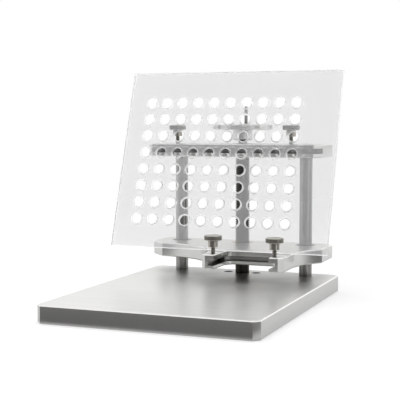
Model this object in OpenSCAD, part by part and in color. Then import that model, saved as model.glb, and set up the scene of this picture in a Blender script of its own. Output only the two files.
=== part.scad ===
// Bench frame for holding a circuit board while it is tested: a base plate, two guide posts,
// a carriage that a lead screw raises, a grooved top plate and a loose perforated panel.
// Millimetres. X to the right, Y to the back, Z up. The origin lies on the base plate's
// underside, which the frame stands on: half-way from front to back, midway between the posts.

/* [Base plate] */
// Width of the base plate, left to right
base_w = 186; // [170:1:240]
// Depth of the base plate, front to back
base_d = 244; // [220:1:300]
// Thickness of the base plate
base_t = 15; // [13:0.5:20]
// Chamfer on the upright corners of the base plate and the carriage's wings
plate_corner = 5; // [2:0.5:8]
// Bevel along the top and bottom edges of the plates
edge_bevel = 0.9; // [0.4:0.1:1.5]
// How far the base plate's middle lies to the left of the posts' middle
base_shift = 2; // [0:0.5:4]

/* [Guide posts] */
// Diameter of the guide posts
post_d = 12; // [10:0.5:14]
// Distance between the two posts' axes
post_spacing = 125; // [110:1:135]
// Distance of the posts' axes from the back edge of the base plate
post_inset = 17.4; // [16:0.2:24]
// Depth of the sockets that the posts stand in
post_socket = 5; // [3:0.5:6]
// Chamfer on the ends of the posts
post_tip_chamfer = 0.8; // [0.3:0.1:1.5]
// Thread diameter of the screws that hold the posts
post_screw_d = 6; // [4:0.5:7]
// Head diameter of the screws that hold the posts
post_screw_head_d = 10; // [8:0.5:11]
// Head height of the screws that hold the posts
post_screw_head_h = 5; // [3:0.5:6]
// Length of thread in the end of each post
post_screw_grip = 12; // [8:1:20]

/* [Carriage] */
// Height of the carriage's underside above the base plate when it is right down
carriage_lift0 = 16; // [12:0.5:24]
// Thickness of the carriage
carriage_t = 13; // [11:0.5:16]
// Width of the carriage across its wings
carriage_w = 170; // [156:1:180]
// Depth of the wings, front to back
wing_d = 49; // [46:1:60]
// Chamfer on the front left corner of the left wing
wing_chamfer = 15; // [5:0.5:16]
// How far the arms reach in front of the wings
arm_reach = 67; // [66:1:75]
// Width of each arm
arm_w = 12; // [10:0.5:16]
// Gap between the two arms
arm_gap = 50; // [40:1:60]
// How far the middle of the arms lies to the right of the posts' middle
arm_offset = 32.5; // [28:0.5:35]
// Chamfer on the outer corner of each arm's tip
arm_chamfer = 4; // [2:0.5:4.5]
// Depth of the pocket between the arms
pocket_d = 37; // [28:1:44]
// Fillet radius in the pocket's corners
pocket_r = 8; // [4:0.5:12]
// Radius of the sweeps from the arms to the wings
sweep_r = 62; // [54:1:62]
// Straight length of the right arm's outer side
right_arm_straight = 32.2; // [28:0.2:40]
// Height of the groove round the pocket
board_groove_h = 4.8; // [4.5:0.1:5.5]
// Depth of the groove round the pocket
board_groove_d = 5.6; // [4:0.1:7]
// Thickness of the lip under the groove round the pocket
board_groove_lip = 3.2; // [2.5:0.1:4]

/* [Top plate] */
// Height of the top plate's underside above the base plate
top_lift = 111.5; // [105:0.5:130]
// Thickness of the top plate
top_t = 12; // [10.5:0.5:14]
// Width of the top plate
top_w = 169; // [156:1:180]
// Depth of the top plate, front to back
top_d = 52; // [46:1:56]
// Chamfer on the upright corners of the top plate
top_corner = 6; // [2:0.5:8]
// Height of the groove in the top plate's front
top_groove_h = 4.8; // [4.5:0.1:5.5]
// Depth of the groove in the top plate's front
top_groove_d = 11; // [9:0.5:12]
// Thickness of the lip under the top plate's groove
top_groove_lip = 3.7; // [2.5:0.1:4]

/* [Lead screw] */
// Outside diameter of the lead screw's thread
screw_d = 14; // [12:0.5:16]
// Diameter of the lead screw's plain foot
foot_d = 10; // [8:0.5:10.5]
// Diameter of the lead screw's plain neck
neck_d = 8; // [7:0.5:9]
// Diameter of the collar that the carriage comes down on
collar_d = 13.2; // [12.5:0.1:17]
// Diameter of the foot bearing's barrel
foot_bearing_d = 16; // [14:0.5:17.5]
// Length of the foot bearing's flange, left to right
foot_flange_l = 42; // [40:1:50]
// Width of the foot bearing's flange, front to back
foot_flange_w = 20; // [18:0.5:24]
// Thickness of the foot bearing's flange
foot_flange_t = 4; // [3:0.5:4.5]
// Distance of the flange and of the recessed screw heads from the underside
underside_recess = 1; // [0.5:0.1:1.5]
// Distance between the two screws that hold the foot bearing
foot_screw_spacing = 28; // [27.5:0.5:30]
// Head diameter of the foot bearing's screws
foot_screw_head_d = 8.5; // [7:0.5:9]
// Head height of the foot bearing's screws
foot_screw_head_h = 4.5; // [3:0.5:5]
// Thread diameter of the foot bearing's screws
foot_screw_d = 5; // [4:0.5:5.5]
// Outside diameter of the neck bush
neck_bush_d = 12; // [11:0.5:15]
// Diameter of the neck bush's flange
neck_flange_d = 18; // [16.5:0.5:22]
// Thickness of the neck bush's flange
neck_flange_t = 1.5; // [1:0.1:2]
// Barrel diameter of the carriage nut
nut_d = 20; // [18.5:0.5:21]
// Flange diameter of the carriage nut
nut_flange_d = 31; // [30:0.5:32]
// Flange thickness of the carriage nut
nut_flange_t = 3; // [2.5:0.1:4]
// Thread diameter of the nut's screws
nut_screw_d = 3; // [2:0.1:3]
// Head diameter of the nut's screws
nut_screw_head_d = 4.6; // [3.5:0.1:4.6]
// Head height of the nut's screws
nut_screw_head_h = 1.8; // [1:0.1:2]
// Length of the nut's screws below their heads
nut_screw_l = 8; // [6:0.5:9]
// Number of screws that hold the nut
nut_screws_n = 4; // [3:1:6]
// Outside diameter of the carriage's guide bushes
guide_bush_d = 18.5; // [16.5:0.5:20]

/* [Handwheel] */
// Diameter of the handwheel's disc
wheel_d = 56; // [44:1:60]
// Thickness of the handwheel's disc
wheel_t = 5.7; // [4:0.1:8]
// Diameter of the handwheel's hub
hub_d = 18; // [15:0.5:24]
// Height of the hub below the disc
hub_h = 10; // [8:0.5:14]
// Fillet between the hub and the disc
hub_fillet = 2; // [1:0.5:4]
// Height of the bare neck between the top plate and the hub
neck_gap = 3; // [2:0.1:5]
// Diameter of the crank pin
crank_d = 3; // [2.5:0.1:6]
// Height of the crank pin above the disc
crank_h = 16; // [12:1:30]
// Distance of the crank pin from the lead screw's axis
crank_r = 22; // [16:0.5:23]
// Direction of the crank pin from the lead screw's axis, from +X towards +Y
crank_angle = -63; // [-180:1:180]
// Thread diameter of the hub's set screw
set_screw_d = 4; // [3:0.5:5]

/* [Thumb screws] */
// Diameter of the thumb screws' knurled heads
head_d = 15.5; // [12:0.5:17]
// Height of the knurled heads
head_h = 4.3; // [3:0.1:6]
// Diameter of the collar under each head
head_collar_d = 8.7; // [7:0.1:10]
// Height of the collar under each head
head_collar_h = 5.9; // [3:0.1:7]
// Thread diameter of the thumb screws
thumb_d = 4; // [3:0.5:5]
// Bare thread that shows under the front thumb screws
front_thumb_gap = 6; // [5:0.1:7]
// Bare thread that shows under the top thumb screws
top_thumb_gap = 7.1; // [6:0.1:9]
// Distance of the front thumb screws from the arms' tips
front_thumb_setback = 7; // [5:0.5:10]
// Distance of the front thumb screws from the arms' inner faces
front_thumb_inset = 3; // [2.5:0.1:3.1]
// Distance between the two top thumb screws
top_thumb_spacing = 111.4; // [90:0.2:114]
// Distance of the top thumb screws from the top plate's front face
top_thumb_setback = 7.5; // [5:0.1:8]

/* [Panel] */
// Width of the perforated panel
panel_w = 205; // [190:1:230]
// Height of the perforated panel along its face
panel_h = 169; // [160:1:190]
// Thickness of the perforated panel
panel_t = 3; // [2:0.1:5]
// How far the panel's middle stands to the right of the posts' middle
panel_shift = -0.3; // [-6:0.1:6]
// Distance of the panel's foot from the arms' tips
panel_setback = 25.9; // [20:0.1:30]
// Diameter of the panel's holes
hole_d = 9; // [6:0.5:11]
// Distance between holes along the panel's width
hole_pitch_x = 15.8; // [13:0.1:16]
// Distance between holes up the panel's height
hole_pitch_up = 16; // [13:0.1:17]
// Number of holes across the panel
holes_across = 10; // [4:1:10]
// Number of rows of holes
holes_up = 8; // [4:1:8]
// Distance of the first column of holes from the panel's left edge
hole_margin_left = 22.3; // [16:0.1:26]
// Distance of the lowest row of holes from the panel's bottom edge
hole_margin_low = 26.4; // [20:0.1:30]

/* [Fits] */
// Radial clearance of turning and sliding fits
running_gap = 0.05; // [0.02:0.01:0.1]
// Clearance round screws, bushes and posts in their seats
seat_gap = 0.02; // [0.01:0.01:0.05]
// Clearance between loose pieces that rest on each other
rest_gap = 0.3; // [0.2:0.05:0.5]

/* [Hidden] */

over = 1;
wheel_fn = 96;
round_fn = 64;
hole_fn = 32;
hex_fn = 6;
socket_share = 0.8;
depth_share = 0.5;
rim_share = 0.125;
lead_share = 0.5;

post_y = base_d / 2 - post_inset;
plates_back = base_d / 2;
base_top = base_t;

carriage_z = base_top + carriage_lift0;
carriage_top = carriage_z + carriage_t;
wing_front = plates_back - wing_d;
tip_y = wing_front - arm_reach;
left_inner = arm_offset - arm_gap / 2;
right_inner = arm_offset + arm_gap / 2;
left_outer = left_inner - arm_w;
right_outer = right_inner + arm_w;
pocket_back = tip_y + pocket_d;
sweep_left_y = wing_front - sweep_r;
sweep_left_x = left_outer - sweep_r;
sweep_right_y = tip_y + right_arm_straight;
sweep_right_x = right_outer + sweep_r;
wing_right_front = sweep_right_y + sqrt(pow(sweep_r, 2) - pow(sweep_right_x - carriage_w / 2, 2));

top_z = base_top + top_lift;
top_top = top_z + top_t;
top_front = plates_back - top_d;

hub_z = top_top + neck_gap;
wheel_z = hub_z + hub_h;
wheel_top = wheel_z + wheel_t;
thread_z = carriage_z;
foot_floor_t = foot_flange_t * depth_share;
shoulder_z = top_z - rest_gap;

front_thumb_y = tip_y + front_thumb_setback;
top_thumb_y = top_front + top_thumb_setback;
top_head_top = top_top + top_thumb_gap + head_collar_h + head_h;

panel_foot_z = carriage_top + rest_gap;
panel_foot_y = tip_y + panel_setback;
head_rim = head_h * rim_share;
lean_dy = top_thumb_y - head_d / 2 - panel_foot_y;
lean_dz = top_head_top - head_rim - panel_foot_z;
lean = atan2(lean_dy, lean_dz) - asin(rest_gap / norm([lean_dy, lean_dz]));

// A screw with a plain cap head; its head's seat is at the origin and it points down.
module cap_screw(d, l, cap_d, cap_h) {
    socket_z = cap_h * depth_share;
    difference() {
        union() {
            cylinder(d = cap_d, h = cap_h, $fn = round_fn);
            translate([0, 0, -l]) cylinder(d = d, h = l + socket_z, $fn = round_fn);
        }
        translate([0, 0, socket_z]) cylinder(d = d * socket_share, h = cap_h, $fn = hex_fn);
    }
}

// The convex outline of a plate with chamfered corners, drawn inwards by a margin.
module plate_outline(w, y0, y1, corner, inset) {
    x = w / 2 - inset;
    cut = corner - inset * (2 - sqrt(2));
    a = y0 + inset;
    b = y1 - inset;
    polygon([[cut - x, a], [x - cut, a], [x, a + cut], [x, b - cut],
             [x - cut, b], [cut - x, b], [-x, b - cut], [-x, a + cut]]);
}

// A flat plate with chamfered corners and a bevel along every edge.
module bevelled_plate(w, y0, y1, t, corner) {
    hull() {
        translate([0, 0, edge_bevel])
            linear_extrude(t - 2 * edge_bevel) plate_outline(w, y0, y1, corner, 0);
        linear_extrude(t) plate_outline(w, y0, y1, corner, edge_bevel);
    }
}

// A wedge that bevels the upper edge from p to q; the solid lies to the left of that line.
module edge_wedge(p, q, t, bevel, ahead = 0, behind = 0) {
    run = q - p;
    translate([p[0], p[1], 0]) rotate([0, 0, atan2(run[1], run[0])])
        translate([-behind, 0, t]) rotate([90, 0, 90])
            linear_extrude(norm(run) + ahead + behind)
                polygon([[-over, -bevel - over], [bevel + over, over], [-over, over]]);
}

// The upper bevels of the carriage's straight edges.
module carriage_wedges() {
    half = carriage_w / 2;
    left_wing_x = -half + wing_chamfer;
    corners = [
        [half, wing_right_front], [half, plates_back - plate_corner],
        [half - plate_corner, plates_back], [plate_corner - half, plates_back],
        [-half, plates_back - plate_corner], [-half, wing_front + wing_chamfer],
        [left_wing_x, wing_front], [sweep_left_x, wing_front]];
    for (i = [0 : len(corners) - 2])
        edge_wedge(corners[i], corners[i + 1], carriage_t, edge_bevel,
                   i == len(corners) - 2 ? 0 : over, over);
    right_tip = [[right_inner, tip_y], [right_outer - arm_chamfer, tip_y],
                 [right_outer, tip_y + arm_chamfer], [right_outer, sweep_right_y]];
    for (i = [0 : len(right_tip) - 2])
        edge_wedge(right_tip[i], right_tip[i + 1], carriage_t, edge_bevel,
                   i == len(right_tip) - 2 ? 0 : over, over);
    left_tip = [[left_outer, sweep_left_y], [left_outer, tip_y + arm_chamfer],
                [left_outer + arm_chamfer, tip_y], [left_inner, tip_y]];
    for (i = [0 : len(left_tip) - 2])
        edge_wedge(left_tip[i], left_tip[i + 1], carriage_t, edge_bevel,
                   over, i == 0 ? 0 : over);
    pocket = [[left_inner, tip_y], [left_inner, pocket_back - pocket_r],
              [left_inner + pocket_r, pocket_back], [right_inner - pocket_r, pocket_back],
              [right_inner, pocket_back - pocket_r], [right_inner, tip_y]];
    edge_wedge(pocket[0], pocket[1], carriage_t, edge_bevel, 0, over);
    edge_wedge(pocket[2], pocket[3], carriage_t, edge_bevel);
    edge_wedge(pocket[4], pocket[5], carriage_t, edge_bevel, over, 0);
}

// A round cutter of radius r whose upper and lower edges flare out by the bevel.
module flared_cutter(r, t, bevel) {
    translate([0, 0, -over]) cylinder(r = r, h = t + 2 * over, $fn = round_fn);
    translate([0, 0, t - bevel]) cylinder(r1 = r, r2 = r + bevel + over, h = bevel + over, $fn = round_fn);
    translate([0, 0, -over]) cylinder(r1 = r + bevel + over, r2 = r, h = bevel + over, $fn = round_fn);
}

// The carriage's outline before its sweeps and its pocket are cut.
module carriage_blank() {
    half = carriage_w / 2;
    polygon([
        [sweep_left_x, wing_front], [sweep_left_x, sweep_left_y],
        [left_outer, sweep_left_y], [left_outer, tip_y + arm_chamfer],
        [left_outer + arm_chamfer, tip_y], [right_outer - arm_chamfer, tip_y],
        [right_outer, tip_y + arm_chamfer], [right_outer, sweep_right_y],
        [half, sweep_right_y], [half, plates_back - plate_corner],
        [half - plate_corner, plates_back], [plate_corner - half, plates_back],
        [-half, plates_back - plate_corner], [-half, wing_front + wing_chamfer],
        [wing_chamfer - half, wing_front]]);
}

// The pocket between the arms, grown on every side by a margin.
module pocket_area(grow) {
    inner = pocket_back - pocket_r;
    x0 = left_inner + pocket_r;
    x1 = right_inner - pocket_r;
    translate([left_inner - grow, tip_y - over])
        square([arm_gap + 2 * grow, inner - tip_y + over]);
    translate([x0, inner - over]) square([x1 - x0, pocket_r + grow + over]);
    for (x = [x0, x1]) translate([x, inner]) circle(r = pocket_r + grow, $fn = round_fn);
}

module carriage() {
    color("silver") translate([0, 0, carriage_z]) difference() {
        linear_extrude(carriage_t) carriage_blank();
        translate([sweep_left_x, sweep_left_y, 0])
            flared_cutter(sweep_r, carriage_t, edge_bevel);
        translate([sweep_right_x, sweep_right_y, 0])
            flared_cutter(sweep_r, carriage_t, edge_bevel);
        translate([0, 0, -over]) linear_extrude(carriage_t + 2 * over) pocket_area(0);
        for (x = [left_inner + pocket_r, right_inner - pocket_r])
            intersection() {
                translate([x, pocket_back - pocket_r, 0])
                    flared_cutter(pocket_r, carriage_t, edge_bevel);
                translate([left_inner - 2 * over, pocket_back - pocket_r, -2 * over])
                    cube([arm_gap + 4 * over, pocket_r + 2 * over, carriage_t + 4 * over]);
            }
        translate([0, 0, board_groove_lip]) linear_extrude(board_groove_h) pocket_area(board_groove_d);
        carriage_wedges();
        translate([0, 0, carriage_t]) mirror([0, 0, 1]) carriage_wedges();
        for (side = [-1, 1]) translate([side * post_spacing / 2, post_y, -over])
            cylinder(d = guide_bush_d + 2 * seat_gap, h = carriage_t + 2 * over, $fn = round_fn);
        translate([0, post_y, -over])
            cylinder(d = nut_d + 2 * seat_gap, h = carriage_t + 2 * over, $fn = round_fn);
        translate([0, post_y, -over])
            cylinder(d = nut_flange_d + 2 * seat_gap, h = nut_flange_t + seat_gap + over, $fn = round_fn);
        nut_screw_places() translate([0, 0, nut_screw_head_h - seat_gap])
            cylinder(d = nut_screw_d + 2 * seat_gap, h = nut_screw_l + 2 * seat_gap, $fn = hole_fn);
        for (x = [left_inner - front_thumb_inset, right_inner + front_thumb_inset])
            translate([x, front_thumb_y, board_groove_lip + over])
                cylinder(d = thumb_d + 2 * running_gap, h = carriage_t, $fn = hole_fn);
    }
}

module nut_screw_places() {
    ring_r = (nut_d + nut_flange_d) / 4;
    for (i = [0 : nut_screws_n - 1])
        translate([0, post_y, 0]) rotate([0, 0, (i + 0.5) * 360 / nut_screws_n])
            translate([ring_r, 0, 0]) children();
}

// A plain bush flush with both faces of the carriage, round one post.
module guide_bush(side) {
    color("dimgray") translate([side * post_spacing / 2, post_y, carriage_z]) difference() {
        cylinder(d = guide_bush_d, h = carriage_t, $fn = round_fn);
        translate([0, 0, -over])
            cylinder(d = post_d + 2 * running_gap, h = carriage_t + 2 * over, $fn = round_fn);
    }
}

module carriage_nut() {
    color("darkgoldenrod") translate([0, 0, carriage_z]) difference() {
        union() {
            translate([0, post_y, 0]) cylinder(d = nut_d, h = carriage_t, $fn = round_fn);
            translate([0, post_y, 0]) cylinder(d = nut_flange_d, h = nut_flange_t, $fn = round_fn);
        }
        translate([0, post_y, -over])
            cylinder(d = screw_d + 2 * running_gap, h = carriage_t + 2 * over, $fn = round_fn);
        nut_screw_places() translate([0, 0, -over]) {
            cylinder(d = nut_screw_d + 2 * seat_gap, h = nut_flange_t + 2 * over, $fn = hole_fn);
            cylinder(d = nut_screw_head_d + 2 * seat_gap, h = nut_screw_head_h + over, $fn = hole_fn);
        }
    }
}

module nut_screws() {
    color("gray") nut_screw_places()
        translate([0, 0, carriage_z + nut_screw_head_h]) rotate([180, 0, 0])
            cap_screw(nut_screw_d, nut_screw_l, nut_screw_head_d, nut_screw_head_h);
}

module base_plate() {
    screw_seat = underside_recess + post_screw_head_h;
    flange_seat = underside_recess + foot_flange_t;
    color("gainsboro") difference() {
        translate([-base_shift, 0, 0])
            bevelled_plate(base_w, -base_d / 2, base_d / 2, base_t, plate_corner);
        for (side = [-1, 1]) translate([side * post_spacing / 2, post_y, 0]) {
            translate([0, 0, base_top - post_socket])
                cylinder(d = post_d + 2 * seat_gap, h = post_socket + over, $fn = round_fn);
            cylinder(d = post_screw_d + 2 * seat_gap, h = base_t, $fn = hole_fn);
            translate([0, 0, -over])
                cylinder(d = post_screw_head_d + 2 * seat_gap, h = screw_seat + over, $fn = round_fn);
        }
        translate([0, post_y, -over])
            cylinder(d = foot_bearing_d + 2 * seat_gap, h = base_t + 2 * over, $fn = round_fn);
        translate([0, post_y, -over]) linear_extrude(flange_seat + over) flange_area(seat_gap);
        for (side = [-1, 1]) translate([side * foot_screw_spacing / 2, post_y, 0]) {
            cylinder(d = foot_screw_d + 2 * seat_gap, h = base_t, $fn = hole_fn);
            translate([0, 0, base_top - foot_screw_head_h - edge_bevel])
                cylinder(d = foot_screw_head_d + 2 * seat_gap, h = base_t, $fn = hole_fn);
        }
    }
}

// The foot bearing's flange, grown by a margin: straight sides and round ends.
module flange_area(grow) {
    reach = (foot_flange_l - foot_flange_w) / 2;
    translate([-reach, -foot_flange_w / 2 - grow]) square([2 * reach, foot_flange_w + 2 * grow]);
    for (side = [-1, 1]) translate([side * reach, 0])
        circle(d = foot_flange_w + 2 * grow, $fn = round_fn);
}

// Bearing of the lead screw's foot, put in from below and flush with the base plate's top.
module foot_bearing() {
    color("darkgoldenrod") translate([0, post_y, underside_recess]) difference() {
        union() {
            linear_extrude(foot_flange_t) flange_area(0);
            cylinder(d = foot_bearing_d, h = base_t - underside_recess, $fn = round_fn);
        }
        translate([0, 0, foot_floor_t]) cylinder(d = foot_d + 2 * running_gap, h = base_t, $fn = round_fn);
        for (side = [-1, 1]) translate([side * foot_screw_spacing / 2, 0, -over])
            cylinder(d = foot_screw_d + 2 * seat_gap, h = foot_flange_t + 2 * over, $fn = hole_fn);
    }
}

module foot_bearing_screws() {
    seat_z = base_top - foot_screw_head_h - edge_bevel;
    color("dimgray") for (side = [-1, 1])
        translate([side * foot_screw_spacing / 2, post_y, seat_z])
            cap_screw(foot_screw_d, seat_z - underside_recess - rest_gap,
                      foot_screw_head_d, foot_screw_head_h);
}

// A round post with a tapped hole in each end.
module guide_post(side) {
    foot_z = base_top - post_socket;
    head_z = top_z + post_socket;
    tap_l = post_screw_grip + over;
    color("lightgray") translate([side * post_spacing / 2, post_y, 0]) difference() {
        rotate_extrude($fn = round_fn) polygon([
            [0, foot_z], [post_d / 2 - post_tip_chamfer, foot_z],
            [post_d / 2, foot_z + post_tip_chamfer], [post_d / 2, head_z - post_tip_chamfer],
            [post_d / 2 - post_tip_chamfer, head_z], [0, head_z]]);
        translate([0, 0, foot_z - over])
            cylinder(d = post_screw_d + 2 * seat_gap, h = tap_l + over, $fn = hole_fn);
        translate([0, 0, head_z - tap_l])
            cylinder(d = post_screw_d + 2 * seat_gap, h = tap_l + over, $fn = hole_fn);
    }
}

module post_screws_lower() {
    seat_z = underside_recess + post_screw_head_h;
    shank = base_top - post_socket - seat_z + post_screw_grip;
    color("dimgray") for (side = [-1, 1]) translate([side * post_spacing / 2, post_y, seat_z])
        rotate([180, 0, 0]) cap_screw(post_screw_d, shank, post_screw_head_d, post_screw_head_h);
}

module post_screws_upper() {
    seat_z = top_top - edge_bevel - post_screw_head_h;
    shank = seat_z - top_z - post_socket + post_screw_grip;
    color("dimgray") for (side = [-1, 1]) translate([side * post_spacing / 2, post_y, seat_z])
        cap_screw(post_screw_d, shank, post_screw_head_d, post_screw_head_h);
}

module top_plate() {
    color("silver") translate([0, 0, top_z]) difference() {
        bevelled_plate(top_w, top_front, plates_back, top_t, top_corner);
        translate([-top_w / 2 - over, top_front - over, top_groove_lip])
            cube([top_w + 2 * over, top_groove_d + over, top_groove_h]);
        for (side = [-1, 1]) translate([side * post_spacing / 2, post_y, 0]) {
            translate([0, 0, -over])
                cylinder(d = post_d + 2 * seat_gap, h = post_socket + over, $fn = round_fn);
            cylinder(d = post_screw_d + 2 * seat_gap, h = top_t, $fn = hole_fn);
            translate([0, 0, top_t - edge_bevel - post_screw_head_h])
                cylinder(d = post_screw_head_d + 2 * seat_gap, h = top_t, $fn = round_fn);
        }
        translate([0, post_y, -over])
            cylinder(d = neck_bush_d + 2 * seat_gap, h = top_t + 2 * over, $fn = round_fn);
        translate([0, post_y, -over])
            cylinder(d = neck_flange_d + 2 * seat_gap, h = neck_flange_t + seat_gap + over, $fn = round_fn);
        for (side = [-1, 1]) translate([side * top_thumb_spacing / 2, top_thumb_y, top_groove_lip + over])
            cylinder(d = thumb_d + 2 * running_gap, h = top_t, $fn = hole_fn);
    }
}

// Bush round the lead screw's neck; its flange takes the screw's upward thrust.
module neck_bush() {
    color("darkgoldenrod") translate([0, post_y, top_z]) difference() {
        union() {
            cylinder(d = neck_bush_d, h = top_t, $fn = round_fn);
            cylinder(d = neck_flange_d, h = neck_flange_t, $fn = round_fn);
        }
        translate([0, 0, -over])
            cylinder(d = neck_d + 2 * running_gap, h = top_t + 2 * over, $fn = round_fn);
    }
}

// Collar round the lead screw's foot, standing on the base plate.
module stop_collar() {
    height = carriage_lift0 - rest_gap;
    rim = (collar_d - foot_d) * rim_share;
    color("#2b2724") translate([0, post_y, base_top]) rotate_extrude($fn = round_fn)
        polygon([[foot_d / 2 + running_gap, 0], [collar_d / 2 - rim, 0], [collar_d / 2, rim],
                 [collar_d / 2, height - rim], [collar_d / 2 - rim, height],
                 [foot_d / 2 + running_gap, height]]);
}

// The lead screw: plain foot, threaded length, and a plain neck that carries the handwheel.
module lead_screw() {
    foot_z = underside_recess + foot_floor_t + rest_gap;
    lead_in = (screw_d - foot_d) / 2 * lead_share;
    color("darkgray") translate([0, post_y, 0]) rotate_extrude($fn = round_fn)
        polygon([[0, foot_z], [foot_d / 2, foot_z], [foot_d / 2, thread_z],
                 [screw_d / 2 - lead_in, thread_z], [screw_d / 2, thread_z + lead_in],
                 [screw_d / 2, shoulder_z - lead_in], [screw_d / 2 - lead_in, shoulder_z],
                 [neck_d / 2, shoulder_z], [neck_d / 2, wheel_top - edge_bevel],
                 [0, wheel_top - edge_bevel]]);
}

// The handwheel: a disc and a hub turned from one piece.
module handwheel() {
    rim = edge_bevel;
    color("lightgray") translate([0, post_y, 0]) difference() {
        rotate_extrude($fn = wheel_fn) difference() {
            polygon([[neck_d / 2 + seat_gap, hub_z], [hub_d / 2 - rim, hub_z],
                     [hub_d / 2, hub_z + rim], [hub_d / 2, wheel_z - hub_fillet],
                     [hub_d / 2 + hub_fillet, wheel_z], [wheel_d / 2 - rim, wheel_z],
                     [wheel_d / 2, wheel_z + rim], [wheel_d / 2, wheel_top - rim],
                     [wheel_d / 2 - rim, wheel_top], [neck_d / 2 + seat_gap, wheel_top]]);
            translate([hub_d / 2 + hub_fillet, wheel_z - hub_fillet])
                circle(r = hub_fillet, $fn = hole_fn);
        }
        rotate([0, 0, crank_angle]) translate([crank_r, 0, wheel_z + edge_bevel])
            cylinder(d = crank_d + 2 * seat_gap, h = wheel_t, $fn = hole_fn);
        translate([0, 0, hub_z + hub_h / 2]) rotate([-90, 0, 0])
            cylinder(d = set_screw_d + 2 * seat_gap, h = hub_d, $fn = hole_fn);
    }
}

// A plain pin pressed into the disc, with a rounded top.
module crank_pin() {
    foot_z = wheel_z + edge_bevel;
    head_z = wheel_top + crank_h;
    round_r = crank_d / 2 * lead_share;
    color("gray") translate([0, post_y, 0]) rotate([0, 0, crank_angle]) translate([crank_r, 0, 0])
        rotate_extrude($fn = hole_fn) {
            translate([0, foot_z]) square([crank_d / 2, head_z - round_r - foot_z]);
            translate([0, head_z - round_r - over]) square([crank_d / 2 - round_r, round_r + over]);
            translate([crank_d / 2 - round_r, head_z - round_r]) intersection() {
                circle(r = round_r, $fn = hole_fn);
                translate([-round_r, -over]) square([2 * round_r, 2 * round_r + over]);
            }
        }
}

module hub_set_screw() {
    reach = hub_d / 2 - neck_d / 2 - 2 * seat_gap;
    color("dimgray") translate([0, post_y + neck_d / 2 + seat_gap, hub_z + hub_h / 2])
        rotate([-90, 0, 0]) difference() {
            cylinder(d = set_screw_d, h = reach, $fn = hole_fn);
            translate([0, 0, reach * depth_share])
                cylinder(d = set_screw_d * depth_share, h = reach, $fn = hex_fn);
        }
}

// A thumb screw; its collar's underside is at the origin, and its thread points down.
module thumb_screw(thread_l) {
    tip = thumb_d * rim_share;
    top = head_collar_h + head_h;
    rotate_extrude($fn = round_fn)
        polygon([[0, -thread_l], [thumb_d / 2 - tip, -thread_l], [thumb_d / 2, tip - thread_l],
                 [thumb_d / 2, 0], [head_collar_d / 2 - head_rim, 0], [head_collar_d / 2, head_rim],
                 [head_collar_d / 2, head_collar_h], [head_d / 2 - head_rim, head_collar_h],
                 [head_d / 2, head_collar_h + head_rim], [head_d / 2, top - head_rim],
                 [head_d / 2 - head_rim, top], [0, top]]);
}

// A thumb screw at the tip of one arm; its thread ends just above the groove.
module front_thumb_screw(side) {
    x = arm_offset + side * (arm_gap / 2 + front_thumb_inset);
    lip_t = carriage_t - board_groove_lip - board_groove_h;
    color("tan") translate([x, front_thumb_y, carriage_top + front_thumb_gap])
        thumb_screw(front_thumb_gap + lip_t - rest_gap);
}

// A thumb screw in the top plate; its thread ends just above the groove.
module top_thumb_screw(side) {
    lip_t = top_t - top_groove_lip - top_groove_h;
    color("tan") translate([side * top_thumb_spacing / 2, top_thumb_y, top_top + top_thumb_gap])
        thumb_screw(top_thumb_gap + lip_t - rest_gap);
}

// The loose clear panel: it stands on the arms and leans on the top thumb screws' heads.
module perforated_panel() {
    color("white", 0.4) translate([panel_shift - panel_w / 2, panel_foot_y, panel_foot_z])
        rotate([-lean, 0, 0]) translate([0, -panel_t, 0]) difference() {
            cube([panel_w, panel_t, panel_h]);
            for (col = [0 : holes_across - 1], row = [0 : holes_up - 1])
                translate([hole_margin_left + col * hole_pitch_x, panel_t + over,
                           hole_margin_low + row * hole_pitch_up])
                    rotate([90, 0, 0]) cylinder(d = hole_d, h = panel_t + 2 * over, $fn = hole_fn);
        }
}

base_plate();
guide_post(-1);  // guide_post_left
guide_post(1);  // guide_post_right
post_screws_lower();
top_plate();
post_screws_upper();
foot_bearing();
foot_bearing_screws();
neck_bush();
stop_collar();
carriage();
guide_bush(-1);  // guide_bush_left
guide_bush(1);  // guide_bush_right
carriage_nut();
nut_screws();
lead_screw();
handwheel();
crank_pin();
hub_set_screw();
front_thumb_screw(-1);  // front_thumb_screw_left
front_thumb_screw(1);  // front_thumb_screw_right
top_thumb_screw(-1);  // top_thumb_screw_left
top_thumb_screw(1);  // top_thumb_screw_right
perforated_panel();
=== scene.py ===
import logging
import math
from dataclasses import dataclass, field, replace
from enum import Enum
from functools import cache
from typing import Callable, List, Optional, Sequence, Tuple, Union

import bmesh
import bpy
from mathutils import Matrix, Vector


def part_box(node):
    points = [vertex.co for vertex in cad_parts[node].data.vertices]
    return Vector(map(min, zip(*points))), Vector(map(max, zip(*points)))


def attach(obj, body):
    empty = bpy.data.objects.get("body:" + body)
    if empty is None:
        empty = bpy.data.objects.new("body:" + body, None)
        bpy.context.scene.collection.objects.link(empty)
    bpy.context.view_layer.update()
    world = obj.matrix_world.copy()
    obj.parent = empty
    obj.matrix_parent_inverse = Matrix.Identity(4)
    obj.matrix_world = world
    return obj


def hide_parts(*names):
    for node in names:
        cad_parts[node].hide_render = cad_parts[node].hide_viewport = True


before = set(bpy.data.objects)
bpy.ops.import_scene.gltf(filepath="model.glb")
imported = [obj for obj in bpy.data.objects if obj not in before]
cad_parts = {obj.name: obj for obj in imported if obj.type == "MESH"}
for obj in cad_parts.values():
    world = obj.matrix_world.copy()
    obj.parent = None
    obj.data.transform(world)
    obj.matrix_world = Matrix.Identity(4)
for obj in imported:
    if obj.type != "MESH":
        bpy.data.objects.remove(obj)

log = logging.getLogger("test_frame")

MM = 0.001
TURN = 2 * math.pi

# A smaller radius counts as a point on the axis
AXIS_RADIUS = 1e-6
# Points that lie closer together become one
MERGE_DISTANCE = 1e-7
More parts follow.
